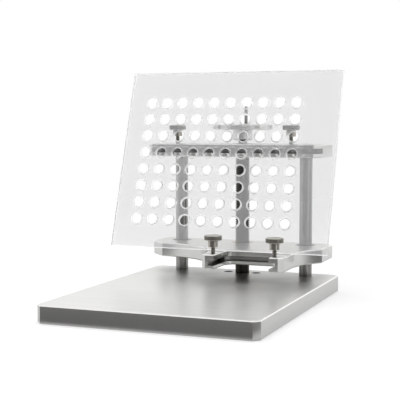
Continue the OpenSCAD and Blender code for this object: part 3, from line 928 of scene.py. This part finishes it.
@dataclass(frozen=True)
class Sector:
    """Directions seen from above, with the angles from +X in degrees where they fade in and out."""

    fade_in: Span
    fade_out: Span

    def share(self, sheet: NodeSheet, place: bpy.types.NodeSocket) -> bpy.types.NodeSocket:
        """Tells how far a direction lies in the sector.

        Args:
            sheet: the sheet that it is added to.
            place: a place or direction.

        Returns:
            The socket of a value from 0 to 1.
        """
        parts = sheet.add("ShaderNodeSeparateXYZ", Vector=place).outputs
        angle = sheet.math("ARCTAN2", parts["Y"], parts["X"])
        begun = sheet.ramp(angle, *(math.radians(value) for value in self.fade_in))
        over = sheet.ramp(angle, *(math.radians(value) for value in self.fade_out))
        return sheet.math("MULTIPLY", begun, sheet.rest(over))


def ray_kinds(sheet: NodeSheet) -> Tuple[bpy.types.NodeSocket, bpy.types.NodeSocket]:
    """Tells the rays that look at something, straight or through clear sheet, from mirrored ones.

    Args:
        sheet: the material's or the world's own sheet.

    Returns:
        The sockets that are 1 for rays that look and 1 for glossy rays.
    """
    path = sheet.add("ShaderNodeLightPath").outputs
    seen = sheet.math("MAXIMUM", path["Is Camera Ray"], path["Is Transmission Ray"])
    return seen, path["Is Glossy Ray"]


@dataclass
class Floor:
    """A pale floor that keeps the object's shadow, and that polished metal sees as a table with a painted
    shadow.

    Spans are distances from the object's middle, apart from front_span, which is along Y. The
    levels are how bright mirrored rays see it, near the object and far away.
    """

    half_side: float = 6.0
    tone: float = 0.80
    lit_share: float = 0.62
    lit_span: Span = (0.35, 1.3)
    bright_span: Span = (0.25, 0.9)
    bright_levels: Span = (0.72, 1.05)
    painted_shadow_span: Span = (0.15, 0.8)
    painted_shadow_levels: Span = (0.16, 0.2)
    front_span: Span = (-0.123, -0.135)
    front_sector: Sector = Sector((-160, -130), (-48, -20))
    right_span: Span = (0.2, 0.3)
    right_sector: Sector = Sector((-10, -3), (15, 45))

    def build(self) -> None:
        """Lays the floor under the object."""
        half = self.half_side
        mesh = bmesh.new()
        mesh.faces.new([mesh.verts.new(place) for place in
                        ((-half, -half, 0.0), (half, -half, 0.0), (half, half, 0.0), (-half, half, 0.0))])
        data = bpy.data.meshes.new("floor")
        mesh.to_mesh(data)
        mesh.free()
        floor = bpy.data.objects.new("floor", data)
        bpy.context.scene.collection.objects.link(floor)
        data.materials.append(self._material())

    def _material(self) -> bpy.types.Material:
        """Makes the floor's material, in which only the lit part near the object takes a shadow.

        Returns:
            The material.
        """
        made = bpy.data.materials.new("pale_floor")
        made.use_nodes = True
        sheet = NodeSheet(made.node_tree)
        shader = made.node_tree.nodes["Principled BSDF"]
        shader.inputs["Roughness"].default_value = 1.0
        shader.inputs["Specular IOR Level"].default_value = 0.0
        shader.inputs["Emission Color"].default_value = (1.0, 1.0, 1.0, 1.0)
        place = sheet.add("ShaderNodeTexCoord").outputs["Object"]
        away = sheet.add("ShaderNodeVectorMath", {"operation": "LENGTH"}, in_0=place).outputs["Value"]
        near = sheet.rest(sheet.ramp(away, *self.lit_span))
        seen, glossy = ray_kinds(sheet)
        mirrored = sheet.math("MULTIPLY", glossy, sheet.rest(seen))
        lit = sheet.math("MULTIPLY", near, sheet.rest(mirrored))
        grey = sheet.add("ShaderNodeVectorMath", {"operation": "SCALE"},
                         in_0=(self.tone,) * 3, Scale=lit).outputs[0]
        sheet.link(grey, shader.inputs["Base Color"])
        white = sheet.math("MULTIPLY", seen, sheet.math("MULTIPLY_ADD", near, -self.lit_share, 1.0))
        table = sheet.math("MULTIPLY", mirrored, self._table_level(sheet, place, away))
        sheet.link(sheet.math("ADD", white, table), shader.inputs["Emission Strength"])
        return made

    def _table_level(self, sheet: NodeSheet, place: bpy.types.NodeSocket,
                     away: bpy.types.NodeSocket) -> bpy.types.NodeSocket:
        """Gives how bright polished metal sees the table, with painted shadow in front and on the right
        and painted shade near the object.

        Args:
            sheet: the floor's sheet.
            place: the place on the floor.
            away: its distance from the object's middle.

        Returns:
            The level's socket.
        """
        bright = sheet.ramp(away, *self.bright_span, *self.bright_levels)
        # Painted shadow: the table is dark in front of the object and on its right.
        painted_shadow = sheet.ramp(away, *self.painted_shadow_span, *self.painted_shadow_levels)
        along = sheet.add("ShaderNodeSeparateXYZ", Vector=place).outputs["Y"]
        front = sheet.math("MULTIPLY", sheet.ramp(along, *self.front_span),
                           self.front_sector.share(sheet, place))
        right = sheet.math("MULTIPLY", sheet.ramp(away, *self.right_span),
                           self.right_sector.share(sheet, place))
        return sheet.blend(sheet.math("MAXIMUM", front, right), bright, painted_shadow)


@dataclass
class Surround:
    """A white surround, which polished metal sees dim in front and overhead.

    A level is a brightness for mirrored rays, where 1 is white.
    """

    object_light: float = 0.35
    front_direction: Triple = (0.29, -0.957, 0.0)
    behind_span: Span = (-0.3, -0.7)
    horizon_span: Span = (0.08, 0.22)
    horizon_level: float = 0.55
    back_level: float = 1.25
    side_level: float = 1.05
    front_sector: Sector = Sector((-124, -115), (-72, -15))
    front_level: float = 0.28
    overhead_span: Span = (0.62, 0.8)
    overhead_level: float = 0.05

    def build(self) -> None:
        """Builds the world that looks white, mirrors in levels and lights the object softly."""
        world = bpy.data.worlds.new("studio")
        bpy.context.scene.world = world
        world.use_nodes = True
        sheet = NodeSheet(world.node_tree)
        background = world.node_tree.nodes["Background"]
        background.inputs["Color"].default_value = (1.0, 1.0, 1.0, 1.0)
        seen, glossy = ray_kinds(sheet)
        mirrored = sheet.math("MULTIPLY", glossy, self._mirrored_level(sheet))
        shown = sheet.math("MAXIMUM", seen, mirrored)
        light = sheet.math("MULTIPLY", sheet.rest(sheet.math("MAXIMUM", seen, glossy)), self.object_light)
        sheet.link(sheet.math("ADD", shown, light), background.inputs["Strength"])

    def _mirrored_level(self, sheet: NodeSheet) -> bpy.types.NodeSocket:
        """Gives how bright polished metal sees the surround in each direction.

        Args:
            sheet: the world's sheet.

        Returns:
            The level's socket.
        """
        direction = sheet.add("ShaderNodeTexCoord").outputs["Generated"]
        ahead = sheet.add("ShaderNodeVectorMath", {"operation": "DOT_PRODUCT"},
                          in_0=direction, in_1=self.front_direction).outputs["Value"]
        height = sheet.add("ShaderNodeSeparateXYZ", Vector=direction).outputs["Z"]
        back = sheet.ramp(height, *self.horizon_span, self.horizon_level, self.back_level)
        around = sheet.blend(sheet.ramp(ahead, *self.behind_span), self.side_level, back)
        level = sheet.blend(self.front_sector.share(sheet, direction), around, self.front_level)
        return sheet.blend(sheet.ramp(height, *self.overhead_span), level, self.overhead_level)


@dataclass
class Softbox:
    """One large soft lamp above the object."""

    place: Triple = (-0.25, 0.05, 1.8)
    side: float = 3.0
    power: float = 31.5

    def build(self) -> None:
        """Hangs the lamp, which shines straight down."""
        lamp = bpy.data.lights.new("softbox", "AREA")
        lamp.size = self.side
        lamp.energy = self.power
        hung = bpy.data.objects.new("softbox", lamp)
        hung.location = self.place
        bpy.context.scene.collection.objects.link(hung)


@dataclass
class Viewpoint:
    """The camera, with its angles in radians."""

    place: Triple = (0.3144, -0.8077, 0.15695)
    yaw: float = 0.374
    pitch: float = 0.075
    focal_pixels: float = 1011.5
    picture_pixels: float = 400.0
    sensor_width: float = 36.0
    nearest: float = 0.01

    def build(self) -> None:
        """Puts the camera where the photograph was taken from."""
        lens = bpy.data.cameras.new("camera")
        lens.sensor_width = self.sensor_width
        lens.lens = self.focal_pixels / self.picture_pixels * self.sensor_width
        lens.clip_start = self.nearest
        camera = bpy.data.objects.new("camera", lens)
        camera.location = self.place
        camera.rotation_euler = (math.pi / 2 - self.pitch, 0.0, self.yaw)
        bpy.context.scene.collection.objects.link(camera)
        bpy.context.scene.camera = camera


@dataclass
class Studio:
    """Floor, surround, lamp and camera."""

    floor: Floor = field(default_factory=Floor)
    surround: Surround = field(default_factory=Surround)
    softbox: Softbox = field(default_factory=Softbox)
    viewpoint: Viewpoint = field(default_factory=Viewpoint)

    def build(self) -> None:
        """Builds them all, and shows colours as they are written."""
        self.floor.build()
        self.surround.build()
        self.softbox.build()
        self.viewpoint.build()
        bpy.context.scene.view_settings.view_transform = "Standard"
        log.info("studio: floor, surround, softbox and camera stand")


def main() -> None:
    """Builds and dresses the object, then the studio."""
    logging.basicConfig(level=logging.INFO, format="%(message)s")
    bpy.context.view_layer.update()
    BasePlate().dress()
    Columns().dress()
    Carriage().dress()
    drive = Drive()
    drive.build()
    drive.dress()
    for side in ("left", "right"):
        ThumbScrew(f"front_thumb_screw_{side}", f"front_screw_{side}").build()
        ThumbScrew(f"top_thumb_screw_{side}", f"top_screw_{side}").build()
    ClearPanel().build()
    Studio().build()


if __name__ == "__main__":
    main()
